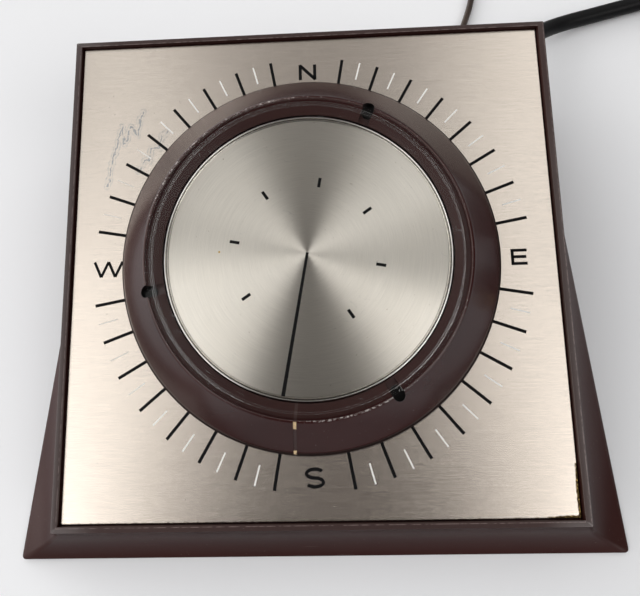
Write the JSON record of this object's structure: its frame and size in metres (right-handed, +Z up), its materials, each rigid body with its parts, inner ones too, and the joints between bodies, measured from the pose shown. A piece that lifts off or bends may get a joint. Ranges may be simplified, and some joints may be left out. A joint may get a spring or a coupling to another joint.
{
  "type": "antenna rotator controller",
  "caption": "Sloping desk case with a brushed compass plate, a large windowed setting knob over a motor driven dial, rear screw terminals, a control lead and a coiled mains cord.",
  "frame": {"origin": "centre of the case's footprint, on the plane the rubber feet rest on", "axes": "+X to the user's right, +Y to the back where the cords leave, +Z up; the sloping face looks towards -Y and up"},
  "size_m": [0.3372, 0.2783, 0.0646],
  "materials": {
    "case_plastic": "dark maroon-brown moulding, glossy",
    "knob_plastic": "dark maroon-brown moulding, glossy",
    "face_aluminium": "brushed across, champagne tint",
    "dial_aluminium": "spun in circles",
    "clear_plastic": "clear moulded acrylic",
    "cover_steel": "dark satin paint",
    "black_rubber": "matt",
    "cord_rubber": "satin black",
    "lead_plastic": "satin dark brown",
    "plug_plastic": "moulded black",
    "screw_steel": "zinc plated",
    "plated_steel": "zinc plated sheet and turned steel",
    "core_steel": "varnished laminations",
    "brass": "turned brass",
    "contact_copper": "copper and spring bronze",
    "plug_brass": "polished brass",
    "phenolic": "brown phenolic board",
    "black_phenolic": "black moulded phenolic",
    "gear_plastic": "natural nylon",
    "copper_wire": "enamelled copper winding",
    "tinned_copper": "tinned strands",
    "capacitor_can": "drawn can"
  },
  "bodies": {
    "case": {"housing": "case_plastic", "faceplate": "face_aluminium", "bottom_plate": "cover_steel", "rubber_feet": "black_rubber", "cover_screws": "screw_steel", "shaft_bushing": "brass", "bushing_nut": "brass", "stop_pin": "plated_steel", "mechanism_plate": "plated_steel", "mechanism_screws": "screw_steel", "lower_bearing": "brass", "idler_stud": "plated_steel", "idler_retaining_ring": "plated_steel", "motor_can": "plated_steel", "motor_flange": "plated_steel", "motor_bearing": "brass", "motor_screws": "screw_steel", "brush_block": "phenolic", "brush_springs": "contact_copper", "transformer_core": "core_steel", "transformer_bobbin": "phenolic", "transformer_winding": "copper_wire", "transformer_strap": "plated_steel", "transformer_screws": "screw_steel", "phasing_capacitor": "capacitor_can", "capacitor_clamp": "plated_steel", "capacitor_screw": "screw_steel", "terminal_block": "black_phenolic", "terminal_plates": "plug_brass", "terminal_screws": "screw_steel", "block_screws": "screw_steel", "strain_relief": "black_rubber", "mains_cord": "cord_rubber", "mains_cord_coil": "cord_rubber", "mains_cord_tail": "cord_rubber", "plug_body": "plug_plastic", "plug_blades": "plug_brass", "rotator_lead": "lead_plastic", "rotator_lead_coil": "lead_plastic", "rotator_lead_tail": "lead_plastic", "lead_tips": "tinned_copper"},
    "knob": {"control_knob": "knob_plastic", "knob_window": "clear_plastic", "knob_sleeve": "brass", "knob_retaining_ring": "plated_steel", "wiper_carrier": "phenolic", "wiper_spring": "contact_copper"},
    "dial": {"dial_disc": "dial_aluminium", "dial_hub": "brass", "dial_shaft": "plated_steel", "shaft_retaining_ring": "plated_steel", "dial_gear": "gear_plastic", "contact_disc": "phenolic", "contact_segments": "contact_copper", "slip_ring_disc": "phenolic", "slip_rings": "contact_copper"},
    "idler": {"idler_gear": "gear_plastic"},
    "pinion": {"motor_pinion": "brass", "motor_shaft": "plated_steel"}
  },
  "joints": [
    {"name": "knob_turn", "type": "hinge", "parent": "case", "child": "knob", "pos_m": [0, 0.00031, 0.03635], "axis": [0, -0.2656, 0.9641], "range_deg": [-352.8, 2.8]},
    {"name": "dial_turn", "type": "hinge", "parent": "case", "child": "dial", "pos_m": [0, 0.00031, 0.03635], "axis": [0, -0.2656, 0.9641], "range_deg": [-347.2, 8.4]},
    {"name": "idler_turn", "type": "hinge", "parent": "case", "child": "idler", "pos_m": [0.02602, 0.0254, 0.04326], "axis": [0, -0.2656, 0.9641], "range_deg": [-29.25, 664.5]},
    {"name": "pinion_turn", "type": "hinge", "parent": "case", "child": "pinion", "pos_m": [0.02602, 0.04237, 0.04793], "axis": [0, -0.2656, 0.9641], "range_deg": [-1772, 78]}
  ],
  "couplings": [
    {"joint": "idler_turn", "follows": "dial_turn", "ratio": -1.875},
    {"joint": "pinion_turn", "follows": "dial_turn", "ratio": 5}
  ]
}
